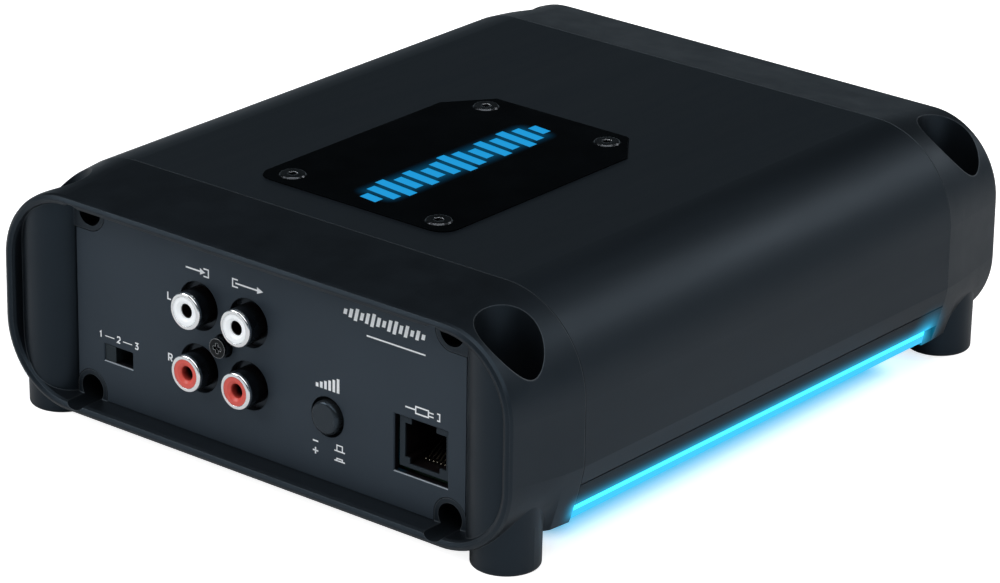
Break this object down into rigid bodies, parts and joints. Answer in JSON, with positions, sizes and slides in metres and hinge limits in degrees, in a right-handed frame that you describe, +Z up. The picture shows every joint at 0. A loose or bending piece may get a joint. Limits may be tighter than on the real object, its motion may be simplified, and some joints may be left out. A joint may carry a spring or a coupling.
{
  "type": "car amplifier",
  "caption": "Compact car audio amplifier: black extruded body between end caps with corner shafts and feet, phono jacks in front, screw terminals behind, blue edge lighting.",
  "frame": {"origin": "on the ground at the centre of the four feet", "axes": "+Z up, X across the width, Y along the length; the audio jacks face -Y and the power terminals face +Y"},
  "size_m": [0.146, 0.172, 0.0558],
  "materials": {
    "anodised_shell": "fine satin black anodised extrusion",
    "cap_plastic": "fine-textured satin black moulding",
    "panel_paint": "satin charcoal paint with white printed legends",
    "badge_gloss": "deep gloss black",
    "black_screws": "black oxide steel",
    "connector_black": "satin black connector plastic",
    "jack_grey": "satin dark grey plastic",
    "knob_black": "satin black with a pale pointer slot",
    "plated_metal": "bright nickel plating",
    "white_insulator": "satin white",
    "red_insulator": "satin red",
    "gilt_contact": "gold plated",
    "blue_light": "translucent, lit blue from behind",
    "light_board": "white solder mask",
    "circuit_board": "green solder mask",
    "fuse_amber": "translucent coloured plastic with tinned blades",
    "lens_clear": "clear light pipe",
    "component_grey": "moulded epoxy",
    "ferrite": "matt sintered ferrite",
    "copper_wire": "enamelled copper winding",
    "capacitor_can": "shrink sleeve over an aluminium can",
    "pad_grey": "silicone pad",
    "clamp_steel": "zinc-plated steel",
    "lead_black": "insulated lead"
  },
  "bodies": {
    "amplifier": {"badge_light_guide": "blue_light", "badge_nuts": "black_screws", "badge_plate": "badge_gloss", "badge_screws": "black_screws", "base_plate": "anodised_shell", "blade_fuses": "fuse_amber", "board_screws": "black_screws", "bulk_capacitors": "capacitor_can", "cap_screws": "black_screws", "clamp_bars": "clamp_steel", "clamp_screws": "black_screws", "control_board": "circuit_board", "control_chips": "component_grey", "control_header": "connector_black", "control_pots": "component_grey", "emblem_lead": "lead_black", "emblem_light_board": "light_board", "front_end_cap": "cap_plastic", "front_panel": "panel_paint", "fuse_holder": "connector_black", "heatsink_shell": "anodised_shell", "level_switch_body": "connector_black", "light_bar_left": "blue_light", "light_bar_right": "blue_light", "light_strip_left": "light_board", "light_strip_right": "light_board", "main_board": "circuit_board", "mode_switch_body": "connector_black", "output_inductor": "ferrite", "power_terminal_block": "connector_black", "power_transistors": "component_grey", "rca_block": "connector_black", "rca_block_screw": "black_screws", "rca_contacts": "gilt_contact", "rca_inserts_red": "red_insulator", "rca_inserts_white": "white_insulator", "rca_sleeves": "plated_metal", "rear_end_cap": "cap_plastic", "rear_panel": "panel_paint", "remote_jack": "jack_grey", "remote_jack_contacts": "gilt_contact", "small_capacitors": "capacitor_can", "speaker_terminal_block": "connector_black", "status_leds": "component_grey", "status_lenses": "lens_clear", "terminal_cages": "plated_metal", "terminal_screws": "black_screws", "thermal_pads": "pad_grey", "transformer_core": "ferrite", "transformer_winding": "copper_wire"},
    "mode_switch": {"mode_switch_knob": "jack_grey"},
    "level_button": {"level_button": "jack_grey"},
    "gain_knob": {"gain_knob": "knob_black"},
    "crossover_knob": {"crossover_knob": "knob_black"},
    "boost_knob": {"boost_knob": "knob_black"}
  },
  "joints": [
    {"name": "mode_switch_slide", "type": "slide", "parent": "amplifier", "child": "mode_switch", "axis": [1, 0, 0], "range_m": [0, 0.0048]},
    {"name": "level_button_press", "type": "slide", "parent": "amplifier", "child": "level_button", "axis": [0, 1, 0], "range_m": [0, 0.002], "stiffness_N_per_m": 300},
    {"name": "gain_knob_turn", "type": "hinge", "parent": "amplifier", "child": "gain_knob", "pos_m": [0.036, 0.08, 0.039], "axis": [0, -1, 0], "range_deg": [-135, 135]},
    {"name": "crossover_knob_turn", "type": "hinge", "parent": "amplifier", "child": "crossover_knob", "pos_m": [0.02, 0.08, 0.039], "axis": [0, -1, 0], "range_deg": [-135, 135]},
    {"name": "boost_knob_turn", "type": "hinge", "parent": "amplifier", "child": "boost_knob", "pos_m": [0.004, 0.08, 0.039], "axis": [0, -1, 0], "range_deg": [-135, 135]}
  ]
}
